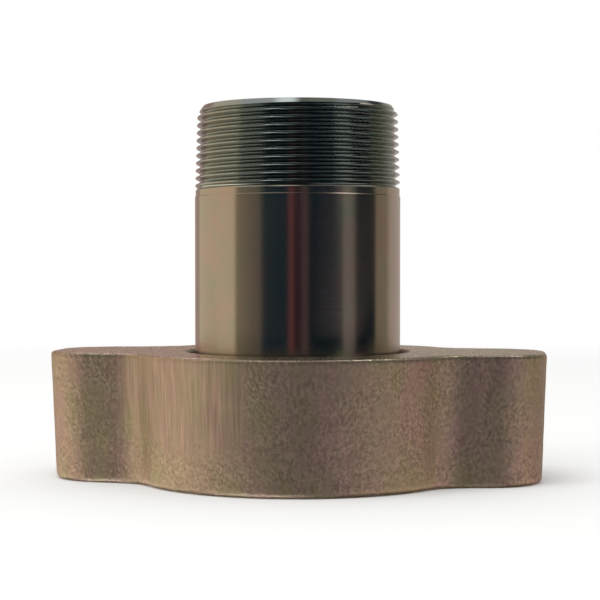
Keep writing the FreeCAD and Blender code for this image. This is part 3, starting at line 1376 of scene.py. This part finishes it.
    def table_top(self) -> list[Screen]:
        """Gives the table as the nut's wall mirrors it: lit on both sides, dark where the camera stands."""
        return [
            Screen(-176, -150, "#b8aaa4"),
            Screen(-140, -114, "#f4f1d4", 1.75),
            Screen(-102, -70, "#fff0dc", 1.8),
            Screen(-32, -22, "#7d7268"),
            Screen(-10, 12, "#231e1b"),
            Screen(44, 54, "#f6e4e8", 1.45),
            Screen(68, 90, "#ffe6d4", 1.6),
            Screen(130, 176, "#a09488"),
        ]

    def mirrored_boxes(self) -> list[MirroredBox]:
        """Gives the round lights: four over the part, one high behind it and a lit patch of the table."""
        return [
            MirroredBox(way=(0.15, -0.5, 0.85), level=0.62, core=0.22, edge=0.42),
            MirroredBox(way=(-0.12, 0.64, 0.76), level=0.42, core=0.22, edge=0.38),
            MirroredBox(way=(0.38, -0.17, 0.91), level=1.5, core=0.13, edge=0.26),
            MirroredBox(way=(-0.23, 0.37, 0.9), level=4.0, core=0.1, edge=0.2),
            MirroredBox(way=(-0.72, -0.12, 0.68), level=2.4, core=0.12, edge=0.26),
            MirroredBox(way=(0.4, -0.36, -0.84), level=9.0, core=0.1, edge=0.22),
        ]

    def by_angle(self, tree: Tree, share: Source, screens: Sequence[Screen]) -> Source:
        """Adds the screens' colours round the part, blended where two of them meet.

        Args:
            tree: The world's node tree.
            share: The angle's share of a full turn, 0.5 at the camera.
            screens: The screens in order.

        Returns:
            Their colour.
        """
        ends = ((angle, screen.light()) for screen in screens for angle in (screen.start, screen.end))
        stops = [(0.5 + angle / 360, light) for angle, light in ends]
        return add_node(tree, "ValToRGB", {"Fac": share}, stops=stops)

    def mirrored_room(self, tree: Tree) -> Source:
        """Adds what the metal mirrors: walls that change with the angle, above and below them tier on tier.

        Args:
            tree: The world's node tree.

        Returns:
            The room's colour.
        """
        way = add_node(tree, "TexCoord").outputs["Generated"]
        turned = add_node(
            tree, "Mapping", {"Vector": way, "Rotation": (0, 0, -math.radians(self.camera_azimuth))}
        )
        angle = add_node(tree, "TexGradient", {"Vector": turned}, gradient_type="RADIAL").outputs["Fac"]
        rise = add_node(tree, "SeparateXYZ", {"Vector": turned}).outputs["Z"]
        room = self.by_angle(tree, angle, self.walls())
        for edges, colour in (
            (self.thread_from, self.by_angle(tree, angle, self.thread_walls())),
            (self.upper_from, self.by_angle(tree, angle, self.upper_walls())),
            (self.ceiling_from, srgb(self.ceiling_colour)),
            (self.zenith_from, srgb(self.zenith_colour)),
            (self.table_from, self.by_angle(tree, angle, self.table_top())),
            (self.under_from, srgb(self.under_colour)),
        ):
            room = self.cover(tree, room, rise, [math.sin(math.radians(edge)) for edge in edges], colour)
        for box in self.mirrored_boxes():
            middle = Vector(box.way).normalized()
            aside = add_node(tree, "VectorMath", {0: turned, 1: middle}, operation="DISTANCE")
            room = self.cover(tree, room, aside, (box.edge, box.core), grey(box.level))
        return room

    def cover(
        self, tree: Tree, room: Source, measure: Source, edges: Sequence[float], colour: Source | Colour
    ) -> Source:
        """Adds a colour that covers the room past an edge.

        Args:
            tree: The world's node tree.
            room: The room's colour so far.
            measure: What tells where the edge is.
            edges: The measure where the colour begins and where it is full.
            colour: The colour.

        Returns:
            The room's colour.
        """
        covered = add_node(
            tree, "MapRange", {"Value": measure, "From Min": edges[0], "From Max": edges[1]},
            interpolation_type="SMOOTHSTEP",
        )
        return add_node(tree, "Mix", {"Factor": covered, 6: room, 7: colour}, data_type="RGBA")


def main() -> None:
    """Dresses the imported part, piece by piece, and sets up the studio."""
    logging.basicConfig(level=logging.INFO, format="%(name)s: %(message)s")
    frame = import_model()
    bpy.context.scene.view_settings.view_transform = "Standard"
    packed = PackedPart(frame["record"])
    # The bore's dark colour is painted shade inside the nut's hole and socket, where the gap round the barrel
    # falls dark
    bore_metal_painted_shade = TurnedMetal(
        name="bored_plated_iron", base="#6f6456", warm="#756657", cool="#6a6558", thread_tint="#6f6456",
        roughness=0.4,
    )
    for piece in (AdapterStem(packed, TurnedMetal()), WingNut(packed, PlatedCasting(), bore_metal_painted_shade)):
        made = piece.build()
        LOG.info("%s: %d faces", made.name, len(made.data.polygons))
    Studio().build()


if __name__ == "__main__":
    main()
